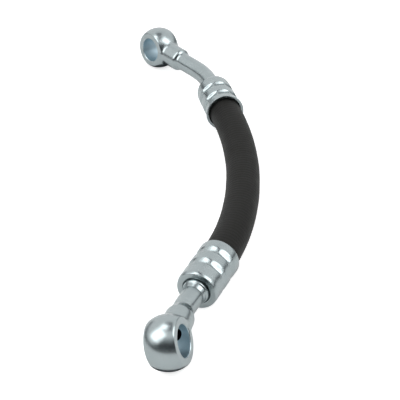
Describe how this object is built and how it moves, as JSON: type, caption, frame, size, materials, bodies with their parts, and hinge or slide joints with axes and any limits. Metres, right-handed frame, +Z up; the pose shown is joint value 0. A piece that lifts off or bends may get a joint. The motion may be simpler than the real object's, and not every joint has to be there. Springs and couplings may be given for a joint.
{
  "type": "oil hose",
  "caption": "Rubber oil hose with a crimped steel ferrule, a bent pipe and a banjo eye at each end, carrying oil under pressure between banjo bolts.",
  "frame": {"origin": "on the surface that the hose lies on, under the middle of the box round its two fittings", "axes": "+Y from the short end's eye towards the long end's, +Z up from the surface, +X towards the side that the hose bulges to"},
  "size_m": [0.062, 0.2962, 0.0246],
  "materials": {
    "zinc_plated_steel": "satin zinc plate",
    "black_rubber": "satin, with fine wrap marks round it"
  },
  "bodies": {
    "root": {"short_end_banjo": "zinc_plated_steel", "short_end_pipe": "zinc_plated_steel", "short_end_hose_tail": "zinc_plated_steel", "short_end_ferrule": "zinc_plated_steel", "hose": "black_rubber", "long_end_ferrule": "zinc_plated_steel", "long_end_hose_tail": "zinc_plated_steel", "long_end_pipe": "zinc_plated_steel", "long_end_banjo": "zinc_plated_steel"}
  },
  "joints": []
}
